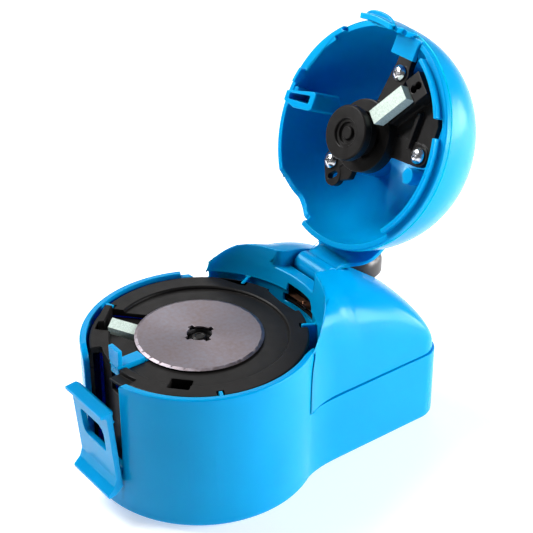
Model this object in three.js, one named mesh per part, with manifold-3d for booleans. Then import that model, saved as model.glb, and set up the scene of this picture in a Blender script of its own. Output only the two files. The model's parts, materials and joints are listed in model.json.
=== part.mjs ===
// Electric sharpener for round rotary-cutter blades.
// Millimetres, +Z up. The spindle stands at x = y = 0 of the working frame, the latch is at -Y, the motor
// housing and the lid hinge are at +Y. The exported group is shifted so that its box is centred in Y.
import * as THREE from 'three';
import { mergeVertices } from 'three/addons/utils/BufferGeometryUtils.js';
import Module from 'manifold-3d';

const wasm = await Module();
wasm.setup();

// ---- driving dimensions -------------------------------------------------------------------------------

const ORIGIN_Y = 30.16; // the open lid makes the box longer at the back than the housing is
const GAP = 0.3; // between pieces that touch on the real object

const DECK_Z = 53; // top of the platform and of the blade
const DRUM_R = 41.2;
const DRUM_TOP = 54;
const WALL = 2.3;
const BASE_Z = 1.2; // underside of the housing, above its feet
const FLOOR_Z = 3.6;
const SEAM_Z = 29.5; // between the lower housing and the rear cover
const WAIST_ANGLE = 30.3; // where the drum meets the rear tub
const TUB_HALF = 33;
const TUB_REAR = 86.3;
const TUB_CORNER = 9;

const COVER_HALF = 32.3;
const COVER_REAR = 85.6;
const COVER_HEIGHT = 37; // crest above the seam
const COVER_CREST_Y = 38;
const COVER_POWER = 1.8; // exponent of the long slope towards the back
const CONCAVE_R = 40.2; // wall of the rear cover behind the platform
const FLARE_R = 41.9; // the same wall above the rim, clear of the closed lid
const FLARE_TOP_R = 44.2;
const WALL_RIB_ANGLES = [61, 119, 204, 336];

const HINGE_Y = 51.5;
const HINGE_Z = 60;
const HINGE_HALF = 7.85;
const BARREL_R = 4;
const PIN_R = 1.5;
const LID_OPEN = 113.7; // degrees from closed

const LID_R = 40.8;
const LID_WALL = 2.3;
const LID_RIM = 56.4;
const LID_RISE = 38;
const LID_POWER = 2.25; // exponent of the dome's superellipse

const BLADE_R = 22.5;
const BLADE_THICK = 0.8;
const RECESS_R = 30.8;
const RECESS_DEPTH = 1.1;
const DECK_R = 37.9;
const DECK_THICK = 2.6;
const HUB_R = 10;
const SHAFT_R = 2;

const MOTOR_Y = 54.5;
const MOTOR_R = 10.8;
const PULLEY_Z = [13.5, 19.5];
const SPINDLE_PULLEY_R = 16;
const MOTOR_PULLEY_R = 4;
const BELT_THICK = 1.5;

const STONE_ANGLE = 223.5;
const UPPER_STONE_ANGLE = -52.3;
const LID_SCREWS = [[4, -25], [-13, 14], [25, -2.3]];
const LOOP_Z = 52.4; // lowest face of the lid's loop boss, in its notch of the platform
const PRESSER_R = 9.74;
const PRESSER_FACE = 50.2; // sprung out when the lid is open

const BUTTON_Y = 70.5;
const BUTTON_R = 9.4;
const LATCH_PIVOT = [-37.6, 15.8];
const LATCH_REST = 5; // degrees swung out
const LEVER_PIVOT = [-26.5, 49];
const LEVER_X = -0.8;

const FEET = [[-22, -22], [22, -22], [-22, 66], [22, 66]];
const COVER_SCREWS = [[-26, 40], [26, 40], [-22, 75.5], [22, 75.5]];
const CHASSIS_POST_R = 32;
const CHASSIS_POST_ANGLES = [-75, 35, 150];

const FINISHES = {
  blue: { color: 0x00aeeb, roughness: 0.25, metalness: 0 },
  black: { color: 0x1d1b1a, roughness: 0.6, metalness: 0 },
  steel: { color: 0x9a9492, roughness: 0.35, metalness: 1 },
  screw: { color: 0xc8c8ca, roughness: 0.25, metalness: 1 },
  brass: { color: 0xb08a3c, roughness: 0.35, metalness: 1 },
  stone: { color: 0xb9c4bb, roughness: 0.85, metalness: 0 },
  magnet: { color: 0x3a3a3d, roughness: 0.4, metalness: 0.6 },
  rubber: { color: 0x151515, roughness: 0.85, metalness: 0 },
  board: { color: 0x1f5a36, roughness: 0.5, metalness: 0 },
  button: { color: 0x353231, roughness: 0.4, metalness: 0 },
};

// ---- solids -------------------------------------------------------------------------------------------

const rad = THREE.MathUtils.degToRad;
const polar = (radius, degrees) => [radius * Math.cos(rad(degrees)), radius * Math.sin(rad(degrees))];

function toManifold(geometry) {
  const bare = geometry.index ? geometry.toNonIndexed() : geometry.clone();
  bare.deleteAttribute('normal');
  bare.deleteAttribute('uv');
  const merged = mergeVertices(bare, 1e-4);
  const from = merged.index.array;
  const triangles = [];
  for (let i = 0; i < from.length; i += 3) {
    const [a, b, c] = [from[i], from[i + 1], from[i + 2]];
    if (a !== b && b !== c && c !== a) triangles.push(a, b, c);
  }
  const mesh = { numProp: 3, vertProperties: new Float32Array(merged.attributes.position.array) };
  const outward = new wasm.Manifold(new wasm.Mesh({ ...mesh, triVerts: new Uint32Array(triangles) }));
  if (outward.volume() > 0) return outward;
  return new wasm.Manifold(new wasm.Mesh({ ...mesh, triVerts: new Uint32Array(triangles.reverse()) }));
}

function toGeometry(manifold) {
  const mesh = manifold.getMesh();
  const geometry = new THREE.BufferGeometry();
  geometry.setAttribute('position', new THREE.Float32BufferAttribute(mesh.vertProperties, 3));
  geometry.setIndex(Array.from(mesh.triVerts));
  return geometry;
}

const join = (...parts) => toGeometry(parts.map(toManifold).reduce((a, b) => a.add(b)));
const cut = (whole, ...tools) => toGeometry(tools.map(toManifold).reduce((a, b) => a.subtract(b),
  toManifold(whole)));
const meet = (...parts) => toGeometry(parts.map(toManifold).reduce((a, b) => a.intersect(b)));

function box([x0, x1], [y0, y1], [z0, z1]) {
  return new THREE.BoxGeometry(x1 - x0, y1 - y0, z1 - z0)
    .translate((x0 + x1) / 2, (y0 + y1) / 2, (z0 + z1) / 2);
}

// an upright round bar between two heights
function rod(radius, [z0, z1], [x, y] = [0, 0], sides = 18) {
  return new THREE.CylinderGeometry(radius, radius, z1 - z0, sides).rotateX(Math.PI / 2)
    .translate(x, y, (z0 + z1) / 2);
}

// a round bar along X, centred at a point of the YZ plane
function crossRod(radius, [x0, x1], [y, z], sides = 14) {
  return new THREE.CylinderGeometry(radius, radius, x1 - x0, sides).rotateZ(Math.PI / 2)
    .translate((x0 + x1) / 2, y, z);
}

// a round bar along Y, centred at a point of the XZ plane
function endRod(radius, [y0, y1], [x, z], sides = 16) {
  return new THREE.CylinderGeometry(radius, radius, y1 - y0, sides)
    .translate(x, (y0 + y1) / 2, z);
}

// a profile of [radius, height] turned about an upright axis
function turned(profile, sides = 32, [x, y] = [0, 0]) {
  const points = profile.map(([r, z]) => new THREE.Vector2(r, z));
  return new THREE.LatheGeometry(points, sides).rotateX(Math.PI / 2).translate(x, y, 0);
}

function ring(outer, inner, [z0, z1], centre = [0, 0], sides = 20) {
  return turned([[inner, z0], [outer, z0], [outer, z1], [inner, z1], [inner, z0]], sides, centre);
}

function outline(points) {
  return new THREE.Shape(points.map(([x, y]) => new THREE.Vector2(x, y)));
}

// an outline in plan, between two heights
function slab(points, [z0, z1], holes = []) {
  const shape = outline(points);
  shape.holes = holes.map(outline);
  return new THREE.ExtrudeGeometry(shape, { depth: z1 - z0, bevelEnabled: false }).translate(0, 0, z0);
}

// an outline of [y, z] points, between two x values
function sideSlab(points, [x0, x1]) {
  const shape = outline(points);
  return new THREE.ExtrudeGeometry(shape, { depth: x1 - x0, bevelEnabled: false })
    .rotateZ(Math.PI / 2).rotateY(Math.PI / 2).translate(x0, 0, 0);
}

// points on an elliptical arc, both ends included
function arc([cx, cy], [rx, ry], [from, to], steps) {
  const points = [];
  for (let i = 0; i <= steps; i += 1) {
    const angle = rad(from + ((to - from) * i) / steps);
    points.push([cx + rx * Math.cos(angle), cy + ry * Math.sin(angle)]);
  }
  return points;
}

// points between two ends of a quadratic curve, ends left out
function bend(start, control, end, steps) {
  const curve = new THREE.QuadraticBezierCurve(...[start, control, end].map((p) => new THREE.Vector2(...p)));
  return curve.getPoints(steps).slice(1, -1).map((p) => [p.x, p.y]);
}

// a closed body through sections that have equal numbers of [x, y, z] points
function loft(sections) {
  const count = sections[0].length;
  const index = [];
  for (let s = 0; s < sections.length - 1; s += 1) {
    for (let i = 0; i < count; i += 1) {
      const [a, b] = [s * count + i, s * count + ((i + 1) % count)];
      index.push(a, b, a + count, b, b + count, a + count);
    }
  }
  const last = (sections.length - 1) * count;
  for (let i = 1; i < count - 1; i += 1) {
    index.push(0, i + 1, i, last, last + i, last + i + 1);
  }
  const geometry = new THREE.BufferGeometry();
  geometry.setAttribute('position', new THREE.Float32BufferAttribute(sections.flat(2), 3));
  geometry.setIndex(index);
  return geometry;
}

// a band of a circle between two radii and two angles
function band([inner, outer], [from, to], heights) {
  const steps = Math.max(2, Math.round((to - from) / 7));
  const inside = arc([0, 0], [inner, inner], [to, from], steps);
  return slab([...arc([0, 0], [outer, outer], [from, to], steps), ...inside], heights);
}

// a bar with round ends between two points in plan
function capsule([x0, y0], [x1, y1], radius, heights) {
  const along = THREE.MathUtils.radToDeg(Math.atan2(y1 - y0, x1 - x0));
  return slab([
    ...arc([x1, y1], [radius, radius], [along - 90, along + 90], 8),
    ...arc([x0, y0], [radius, radius], [along + 90, along + 270], 8),
  ], heights);
}

// a box that lies along a direction from the spindle
function radialBox([r0, r1], halfWidth, heights, degrees) {
  return box([r0, r1], [-halfWidth, halfWidth], heights).rotateZ(rad(degrees));
}

function piece(parent, name, finish, geometry) {
  const material = new THREE.MeshStandardMaterial({ ...FINISHES[finish], flatShading: true });
  const mesh = new THREE.Mesh(geometry, material);
  mesh.name = name;
  parent.add(mesh);
}

// ---- housing ------------------------------------------------------------------------------------------

// plan outline of the drum and the rear tub, moved inwards by an inset
function footprint(inset) {
  const r = DRUM_R - inset;
  const half = TUB_HALF - inset;
  const rear = TUB_REAR - inset;
  const corner = TUB_CORNER - inset;
  const [waistX, waistY] = polar(r, WAIST_ANGLE);
  const straight = 36;
  const control = 26;
  return [
    ...arc([0, 0], [r, r], [180 - WAIST_ANGLE, 360 + WAIST_ANGLE], 28),
    ...bend([waistX, waistY], [half, control], [half, straight], 5),
    [half, straight],
    ...arc([half - corner, rear - corner], [corner, corner], [0, 90], 6),
    ...arc([corner - half, rear - corner], [corner, corner], [90, 180], 6),
    [-half, straight],
    ...bend([-half, straight], [-half, control], [-waistX, waistY], 5),
  ];
}

const FRONT_OPENING = { x: [-11.7, 10.6], z: [11.5, 60] };
const JACK_HOLE_R = 4.4;
const JACK_Z = 15;
const SCREW_BOSS_R = 3.8;
const SCREW_BORE_R = 3.1;
const SCREW_SHANK_R = 1.3;
const SCREW_HEAD_Z = 20;

function makeHousing() {
  const waistY = polar(DRUM_R, WAIST_ANGLE)[1];
  const outer = cut(
    join(slab(footprint(0), [BASE_Z, SEAM_Z]), rod(DRUM_R, [BASE_Z, DRUM_TOP], [0, 0], 48)),
    box([-60, 60], [waistY - 0.3, 100], [SEAM_Z, 70]),
  );
  const inner = join(
    slab(footprint(WALL), [FLOOR_Z, 70]),
    rod(DRUM_R - WALL, [FLOOR_Z, 70], [0, 0], 48),
  );
  const bosses = COVER_SCREWS.map((at) => rod(SCREW_BOSS_R, [BASE_Z + 0.1, SEAM_Z - 0.2], at));
  const ribs = WALL_RIB_ANGLES.filter((a) => a > 180)
    .map((a) => radialBox([35.5, DRUM_R - 1], 0.75, [40, DECK_Z + 0.3], a));
  const bearingSeat = rod(8, [BASE_Z + 0.1, 7], [0, 0], 32);
  const screwHoles = COVER_SCREWS.flatMap((at) => [
    rod(SCREW_BORE_R, [0, SCREW_HEAD_Z + 1.8], at),
    rod(SCREW_SHANK_R + 0.3, [SCREW_HEAD_Z, SEAM_Z + 1], at, 10),
  ]);
  const chassisHoles = CHASSIS_POST_ANGLES
    .map((a) => rod(1.7, [0, FLOOR_Z + 1], polar(CHASSIS_POST_R, a), 10));
  const footRecesses = FEET.map((at) => rod(4.9, [0, BASE_Z + 0.5], at, 14));
  return cut(
    join(cut(outer, inner), ...bosses, ...ribs, bearingSeat),
    box(FRONT_OPENING.x, [-60, -30], FRONT_OPENING.z),
    rod(5.2, [4.4, 8], [0, 0], 24),
    crossRod(0.95, [-14.2, 13.2], LATCH_PIVOT, 16),
    endRod(JACK_HOLE_R, [TUB_REAR - 6, TUB_REAR + 1], [0, JACK_Z], 24),
    ...screwHoles,
    ...chassisHoles,
    ...footRecesses,
  );
}

const COVER_FRONT = [20.8, 24, 27, 31, 35]; // y of the sections that meet the drum

function coverSection(y, height, inset) {
  const corner = TUB_CORNER - inset;
  const intoCorner = Math.max(0, y - (COVER_REAR - inset - corner));
  const swell = y < 36 ? 3.6 * ((36 - y) / 15) ** 2 : 0;
  const half = COVER_HALF + swell - inset - corner + Math.sqrt(corner ** 2 - intoCorner ** 2);
  const power = y < 35 ? 5.2 : Math.max(3.3, 5.2 - (y - 35) / 5);
  const points = [];
  const steps = 14;
  for (let i = 0; i <= steps; i += 1) {
    const angle = (Math.PI * i) / steps;
    const c = Math.cos(angle);
    points.push([
      half * Math.sign(c) * Math.abs(c) ** (2 / power), y,
      i % steps === 0 ? SEAM_Z + GAP - inset : SEAM_Z + GAP + height * Math.sin(angle) ** (2 / power),
    ]);
  }
  return points;
}

// the hump's full outer form, moved inwards by an inset
function humpForm(inset) {
  const depth = COVER_REAR - COVER_CREST_Y - inset;
  const height = COVER_HEIGHT - inset;
  const sections = COVER_FRONT.map((y) => coverSection(y + inset * 0.5, height, inset));
  const steps = 9;
  for (let i = 0; i < steps; i += 1) {
    const along = 0.04 + 0.955 * Math.sin((Math.PI / 2) * (i / (steps - 1)));
    const h = height * (1 - along ** COVER_POWER) ** (1 / COVER_POWER);
    sections.push(coverSection(COVER_CREST_Y + depth * along, h, inset));
  }
  return loft(sections);
}

const HINGE_POCKET_HALF = HINGE_HALF + 1.15;

function makeRearCover() {
  const form = humpForm(0);
  const lidSpace = (grow) => turned([
    [0, SEAM_Z - 2], [CONCAVE_R + grow, SEAM_Z - 2], [CONCAVE_R + grow, 53.5], [FLARE_R + grow, 54.6],
    [FLARE_R + grow, 59], [FLARE_TOP_R + grow, 69], [0, 69],
  ], 48);
  const hingeBlock = box([-11.4, 11.4], [38, 60], [53.5, 72]);
  const hollow = cut(humpForm(WALL), lidSpace(WALL), hingeBlock, box([-50, 50], [0, 24.5], [0, 80]));
  const bosses = COVER_SCREWS.map((at) => meet(rod(SCREW_BOSS_R, [SEAM_Z + GAP, 62], at), form));
  const ribs = WALL_RIB_ANGLES.filter((a) => a < 180)
    .map((a) => radialBox([35.5, CONCAVE_R + 1], 0.75, [40, DECK_Z + 0.3], a));
  const pocket = box([-HINGE_POCKET_HALF, HINGE_POCKET_HALF], [38, 59], [55.4, 72]);
  const shell = cut(form, lidSpace(0), hollow);
  return cut(
    join(shell, ...bosses, ...ribs),
    pocket,
    crossRod(PIN_R + 0.1, [-11.1, 11.1], [HINGE_Y, HINGE_Z], 16),
    rod(BUTTON_R + 0.6, [48, 80], [0, BUTTON_Y], 24),
    box([-3.2, 12.2], [35, 42.9], [48, 56.9]),
    ...COVER_SCREWS.map((at) => rod(SCREW_SHANK_R + 0.3, [SEAM_Z - 1, 41], at, 10)),
  );
}

function addHousing(base) {
  piece(base, 'lower_housing', 'blue', makeHousing());
  piece(base, 'rear_cover', 'blue', makeRearCover());
  piece(base, 'hinge_pin', 'steel', crossRod(PIN_R, [-11, 11], [HINGE_Y, HINGE_Z], 16));
  piece(base, 'latch_pin', 'steel', crossRod(0.8, [-13.8, 12.8], LATCH_PIVOT, 16));
  FEET.forEach((at, i) => {
    const foot = turned([[0, 0], [3.9, 0], [4.4, 0.5], [4.4, BASE_Z + 0.2], [0, BASE_Z + 0.2]], 14,
      at);
    piece(base, `rubber_foot_${i + 1}`, 'rubber', foot);
  });
  COVER_SCREWS.forEach((at, i) => {
    const z = SCREW_HEAD_Z;
    const screw = join(rod(2.7, [z, z + 1.5], at, 12), rod(SCREW_SHANK_R, [z + 1, 40], at, 8));
    piece(base, `housing_screw_${i + 1}`, 'screw', screw);
  });
}

// ---- platform, lower stone and lever ------------------------------------------------------------------

const STONE_HALF = 3.1;
const POST_R = 3.6;

// a slab in the lower stone's own direction: distances from the spindle, then sideways towards the lever
function stoneSlab(points, heights) {
  return slab(points, heights).rotateZ(rad(STONE_ANGLE));
}

// rises away from the spindle, so that it meets the bevel of the blade from below
function makeLowerStone() {
  return sideSlab([[20, 48.6], [31.6, 48.6], [31.6, 54.2], [20, 51.5]].reverse(), [-STONE_HALF, STONE_HALF])
    .rotateZ(rad(STONE_ANGLE - 90));
}

function makePlatform() {
  const deckBottom = DECK_Z - DECK_THICK;
  const posts = CHASSIS_POST_ANGLES
    .map((a) => rod(POST_R, [FLOOR_Z + GAP, deckBottom + 0.2], polar(CHASSIS_POST_R, a)));
  const postHoles = CHASSIS_POST_ANGLES.map((a) => rod(1.4, [3, 14], polar(CHASSIS_POST_R, a), 10));
  const lugs = [[-6.3, -3.9], [2.3, 4.7]].map((x) => box(x, [-28.6, -24.4], [46.6, deckBottom + 0.2]));
  return cut(
    join(
      rod(DECK_R, [deckBottom, DECK_Z], [0, 0], 48), ...posts, ...lugs,
      rod(12.8, [43, deckBottom + 0.2], [0, 0], 32), rod(7, [30, 44], [0, 0], 28),
      band([32.4, 33.9], [248, 290], [8, deckBottom + 0.2]),
    ),
    rod(RECESS_R, [DECK_Z - RECESS_DEPTH, DECK_Z + 5], [0, 0], 48),
    slab([[-40, -9], [-29, -9], [-29, 3], [-40, 3]], [DECK_Z - RECESS_DEPTH, 60]),
    band([34, 45], [246.5, 287.5], [51.4, 60]), band([34, 45], [246.5, 273], [45, 60]),
    rod(HUB_R + 0.6, [45, 60], [0, 0], 32),
    rod(4.8, [28, 41.5], [0, 0], 24),
    rod(SHAFT_R + 0.4, [28, 60], [0, 0], 16),
    box([LEVER_X - 2.9, LEVER_X + 2.9], [-35.2, -12], [42, 60]),
    box([17.1, 24.1], [-3.75, 3.75], [45, 60]).translate(9.4, 0, 0).rotateZ(rad(-47.2)),
    stoneSlab([[18.6, -9.9], [33.6, -10.3], [36.3, -10.6], [36.3, 3.3], [32.1, 3.3], [21.7, 6.6], [18.6, 7.5]],
      [45, 60]),
    crossRod(0.95, [-6.1, 4.5], LEVER_PIVOT, 16),
    ...WALL_RIB_ANGLES.map((a) => radialBox([34.9, 45], 1.3, [40, 60], a)),
    ...postHoles,
  );
}

function makeStoneHolder() {
  return cut(
    join(
      stoneSlab([[18.6, -11], [36.2, -10.9], [36.2, 4], [33, 4.6], [22, 8], [18.6, 8]], [45.6, 49.6]),
      stoneSlab([[33.4, -10], [35.9, -10.1], [36.1, -5], [35.9, 1.1], [33.4, 0.5]], [49, 54.8]),
      stoneSlab([[20, -4.7], [32.6, -4.7], [32.6, -3.4], [20, -3.4]], [49, 50.6]),
    ),
    stoneSlab([[19.4, -3.4], [31.9, -3.4], [31.9, 3.4], [19.4, 3.4]], [48.3, 60]),
  );
}

function makeLever() {
  const [pivotY, pivotZ] = LEVER_PIVOT;
  const half = 2.5;
  const across = [LEVER_X - half, LEVER_X + half];
  return cut(
    join(
      box(across, [-34, -23.3], [49.6, DECK_Z + 0.6]),
      box(across, [-24, -14.2], [49.6, 51.8]),
      box(across, [-34.2, -32.5], [DECK_Z, 56]),
      box([LEVER_X - 3, LEVER_X + 3], [-34.2, -32.5], [DECK_Z + 1.2, 60]),
      crossRod(2, across, [pivotY, pivotZ], 20),
    ),
    crossRod(1, [-6, 6], LEVER_PIVOT, 16),
  );
}

function addPlatform(base) {
  piece(base, 'work_platform', 'black', makePlatform());
  piece(base, 'lower_stone_holder', 'black', makeStoneHolder());
  piece(base, 'lower_stone', 'stone', makeLowerStone());
  piece(base, 'lever_pin', 'steel', crossRod(0.8, [-5.9, 4.3], LEVER_PIVOT, 16));
  CHASSIS_POST_ANGLES.forEach((a, i) => {
    const at = polar(CHASSIS_POST_R, a);
    const screw = join(rod(2.6, [0.4, BASE_Z - 0.1], at, 12), rod(1.1, [0.8, 12], at, 8));
    piece(base, `platform_screw_${i + 1}`, 'screw', screw);
  });
  piece(base, 'blade_lift_lever', 'blue', makeLever());
}

// ---- spindle, belt and motor --------------------------------------------------------------------------

function pulley(radius, bore, [z0, z1], centre, sides) {
  const rim = radius + 1.2;
  return turned([
    [bore, z0], [rim, z0], [rim, z0 + 1], [radius, z0 + 1.4], [radius, z1 - 1.4], [rim, z1 - 1],
    [rim, z1], [bore, z1], [bore, z0],
  ], sides, centre);
}

// loop around both pulleys at a distance from their grooves
function beltOutline(clearance) {
  const big = SPINDLE_PULLEY_R + clearance;
  const small = MOTOR_PULLEY_R + clearance;
  const lean = THREE.MathUtils.radToDeg(Math.asin((big - small) / MOTOR_Y));
  return [
    ...arc([0, 0], [big, big], [180 - lean, 360 + lean], 24),
    ...arc([0, MOTOR_Y], [small, small], [lean, 180 - lean], 10),
  ];
}

// round hole with four notches, for the hub's lugs
function bladeHole() {
  const hole = [];
  const notches = 4;
  for (let i = 0; i < notches; i += 1) {
    const middle = (360 * i) / notches;
    hole.push(...arc([0, 0], [4, 4], [middle + 12, middle + 78], 5));
    hole.push(polar(5.2, middle + 80), polar(5.2, middle + 100));
  }
  return hole;
}

function addDrive(base) {
  const [z0, z1] = PULLEY_Z;
  const axle = [0, MOTOR_Y];
  piece(base, 'lower_bush', 'brass', ring(5, SHAFT_R + 0.1, [4.6, 9.5]));
  piece(base, 'upper_bush', 'brass', ring(4.6, SHAFT_R + 0.1, [33, 41.2]));
  piece(base, 'spindle_shaft', 'steel', turned([
    [0, 5.2], [SHAFT_R, 5.2], [SHAFT_R, 49.8], [1.3, 50.6], [0, 50.6],
  ], 20));
  piece(base, 'spindle_pulley', 'black', pulley(SPINDLE_PULLEY_R, SHAFT_R + 0.15, PULLEY_Z, [0, 0], 24));
  piece(base, 'drive_hub', 'black', cut(
    turned([[0, 46], [HUB_R, 46], [HUB_R, 51.3], [3.2, 51.3], [3, 52.2], [2, 52.6], [0, 52.6]], 32),
    ring(8.4, 4.3, [48.2, 52]), rod(SHAFT_R + 0.15, [45, 51], [0, 0], 20),
  ));
  piece(base, 'magnet_ring', 'magnet', ring(8.1, 4.6, [48.5, 51.7]));
  piece(base, 'round_blade', 'steel', slab(
    arc([0, 0], [BLADE_R, BLADE_R], [0, 352.5], 47), [DECK_Z - BLADE_THICK, DECK_Z], [bladeHole()],
  ));
  piece(base, 'drive_belt', 'rubber', slab(
    beltOutline(0.3 + BELT_THICK), [z0 + 1.7, z1 - 1.7], [beltOutline(0.3)],
  ));
  piece(base, 'motor_shaft', 'steel', rod(1.2, [11, 36], axle, 12));
  piece(base, 'motor_pulley', 'black', pulley(MOTOR_PULLEY_R, 1.35, PULLEY_Z, axle, 20));
  piece(base, 'motor_bracket', 'steel', cut(
    join(
      box([-20, 20], [45, 64], [21, 22.6]),
      box([-20, -18], [45, 64], [FLOOR_Z + GAP, 22]), box([18, 20], [45, 64], [FLOOR_Z + GAP, 22]),
    ),
    rod(3.6, [20, 30], axle, 16),
  ));
  piece(base, 'motor_can', 'screw', turned([
    [1.6, 23], [MOTOR_R - 1, 23], [MOTOR_R, 24], [MOTOR_R, 38], [MOTOR_R - 1.2, 38],
    [MOTOR_R - 1.2, 24.6], [1.6, 24.6], [1.6, 23],
  ], 24, axle));
  piece(base, 'motor_end_cap', 'black', cut(
    join(rod(MOTOR_R - 0.1, [38.3, 40.6], axle), rod(MOTOR_R - 1.6, [35, 39], axle)),
    rod(1.6, [34, 37], axle, 12),
  ));
}

// ---- electrics and start button -----------------------------------------------------------------------

function buttonSpring() {
  const turns = 3;
  const radius = 4.6;
  const height = [38.6, 46.9];
  class Helix extends THREE.Curve {
    getPoint(t, target = new THREE.Vector3()) {
      const angle = t * turns * 2 * Math.PI;
      return target.set(radius * Math.cos(angle), BUTTON_Y + radius * Math.sin(angle),
        height[0] + t * (height[1] - height[0]));
    }
  }
  const wire = outline(arc([0, 0], [0.4, 0.4], [0, 270], 3));
  return new THREE.ExtrudeGeometry(wire, { steps: turns * 10, extrudePath: new Helix(), bevelEnabled: false });
}

function addElectrics(base) {
  piece(base, 'circuit_board', 'board', box([-16, 16], [68.5, 79], [36.4, 38]));
  piece(base, 'start_switch', 'black', join(
    box([-3, 3], [BUTTON_Y - 2.5, BUTTON_Y + 2.5], [38.3, 43]), rod(1.5, [42, 46], [0, BUTTON_Y], 12),
  ));
  piece(base, 'button_spring', 'screw', buttonSpring());
  piece(base, 'power_inlet', 'black', cut(
    join(box([-6, 6], [70, TUB_REAR - WALL - GAP], [8.5, 21.5]),
      endRod(JACK_HOLE_R - GAP, [80, TUB_REAR - 0.2], [0, JACK_Z], 24)),
    endRod(3.2, [74, TUB_REAR + 1], [0, JACK_Z], 20),
  ));
  piece(base, 'interlock_switch', 'black', cut(
    box([-2.8, 11.8], [40.6, 49], [48.4, 53.2]), box([-1.2, 10.2], [38, 46.6], [49.4, 52.2]),
  ));
  [0.4, 5.6].forEach((x, i) => {
    piece(base, `contact_leaf_${i + 1}`, 'brass', box([x, x + 3.4], [40.9, 46.2], [50.4, 50.8]));
  });
  piece(base, 'start_button', 'button', join(
    turned([
      [0, 53.2], [BUTTON_R - 0.6, 53.2], [BUTTON_R, 54], [BUTTON_R, 57.6], [BUTTON_R - 0.6, 60.4],
      [BUTTON_R - 2.2, 62.6], [5, 63.6], [0, 63.6],
    ], 24, [0, BUTTON_Y]),
    rod(3, [48.6, 54], [0, BUTTON_Y], 20),
  ));
}

// ---- latch --------------------------------------------------------------------------------------------

// in the closed position, before it is swung out
function makeLatch() {
  const across = [-10.9, 10.2];
  const plate = sideSlab([
    [-41, 14], [-41, 41], [-39.6, 43.4], [-39.6, 44.6], [-41, 46], [-45.4, 46], [-45.4, 44.9],
    [-43.4, 44.1], [-43.2, 43], [-43.2, 18], [-44.4, 15], [-47.2, 12.8], [-47.2, 11.3], [-44.2, 11.6],
  ].reverse(), across);
  const window = slab([
    [-6.2, 0], [6.2, 0], ...arc([3.2, 5.2], [3, 3], [0, 90], 5), ...arc([-3.2, 5.2], [3, 3], [90, 180], 5),
  ], [0, 8]).rotateX(Math.PI / 2).translate(0, -38, 29);
  const [y, z] = LATCH_PIVOT;
  return cut(
    join(plate, box([-8, 8], [-42, y], [z - 1.2, z + 1.3]), crossRod(2.2, [-8, 8], LATCH_PIVOT)),
    window,
    crossRod(1, [-9, 9], LATCH_PIVOT, 16),
  );
}

// ---- lid ----------------------------------------------------------------------------------------------

function domeProfile(inset, steps) {
  const r = LID_R - inset;
  const rise = LID_RISE - inset;
  const points = [];
  for (let i = 0; i <= steps; i += 1) {
    const angle = (i / steps) * (Math.PI / 2);
    points.push([
      i === steps ? 0 : r * Math.cos(angle) ** (2 / LID_POWER),
      LID_RIM + rise * Math.sin(angle) ** (2 / LID_POWER),
    ]);
  }
  return points;
}

// [y, z, half width] of the neck's middle, from the hinge barrel over the crest of the hump into the dome
const NECK = [
  [51.5, 61.2, 7.6], [48.7, 62, 7.85], [46.8, 64, 8.1], [45.4, 66.5, 9], [43.4, 68.4, 12.2], [40, 69.9, 15.2],
  [34, 71.4, 17.4],
];

function makeNeck() {
  const half = 0.9;
  return loft(NECK.map(([y, z, w], i) => {
    const [before, after] = [NECK[Math.max(0, i - 1)], NECK[Math.min(NECK.length - 1, i + 1)]];
    const along = new THREE.Vector2(after[0] - before[0], after[1] - before[1]).normalize();
    const [ny, nz] = [-along.y * half, along.x * half];
    return [[-w, y - ny, z - nz], [w, y - ny, z - nz], [w, y + ny, z + nz], [-w, y + ny, z + nz]];
  }));
}

function makeLidShell() {
  const dome = turned([[0, LID_RIM], ...domeProfile(0, 8)], 40);
  const inner = domeProfile(LID_WALL, 8);
  const hollow = turned([[0, LID_RIM - 1], [inner[0][0], LID_RIM - 1], ...inner], 40);
  const neck = makeNeck();
  const bosses = LID_SCREWS.map((at) => meet(rod(3.4, [65, 95], at, 20), dome));
  const post = meet(rod(3.6, [59.2, 95], [21.5, 6.8], 16), dome);
  const loop = join(
    slab([[-38.1, -3], [-24, -7], [-23, -6], [-23, -0.6], [-24, 0.2], [-32, 1.8], [-38.1, 0.8]], [LOOP_Z, 62]),
    box([-39.8, -36], [-5, 0.5], [56.8, 62]),
  );
  const tab = box([2.5, 13.5], [-38.9, -31.2], [LID_RIM - 1, LID_RIM + 1]);
  const lips = [[-62, -28], [-18, 42], [190, 199]].map((span) => band([36.9, 38.3], span, [DECK_Z + 0.7, 57]));
  const lipRoots = [[-62, -28], [-18, 42], [190, 226]].map((span) => band([36.9, 39.6], span, [LID_RIM, 58]));
  return cut(
    join(cut(join(dome, neck, crossRod(BARREL_R, [-HINGE_HALF, HINGE_HALF], [HINGE_Y, HINGE_Z], 28)), hollow),
      ...bosses, post, loop, tab, ...lips, ...lipRoots),
    box([-24.6, -9], [-50, -30.9], [50, 58.6]),
    slab([[-36, -2.6], [-25.4, -5], [-25.4, -1.9], [-36, -0.4]], [50, 60]),
    crossRod(PIN_R + 0.25, [-10, 10], [HINGE_Y, HINGE_Z], 16),
    ...LID_SCREWS.map((at) => rod(1.5, [60, 74], at, 16)),
  );
}

// the skirt's downward tongue, which fills the drum's opening above the latch, with an oval lip on it
function makeLid() {
  const skirt = [39.3, 41.3];
  const tongue = [
    band(skirt, [-102.6, -81.5], [46.8, 58]), band(skirt, [-81.5, -79], [49.5, 58]),
    band(skirt, [-79, -76.5], [52.5, 58]),
  ];
  const lip = slab(arc([-1.3, -40.6], [6.8, 3.4], [0, 345], 23), [48.2, 50]);
  return join(makeLidShell(), ...tongue, lip);
}

const BRACKET_Z = [62, 64.7];

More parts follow.
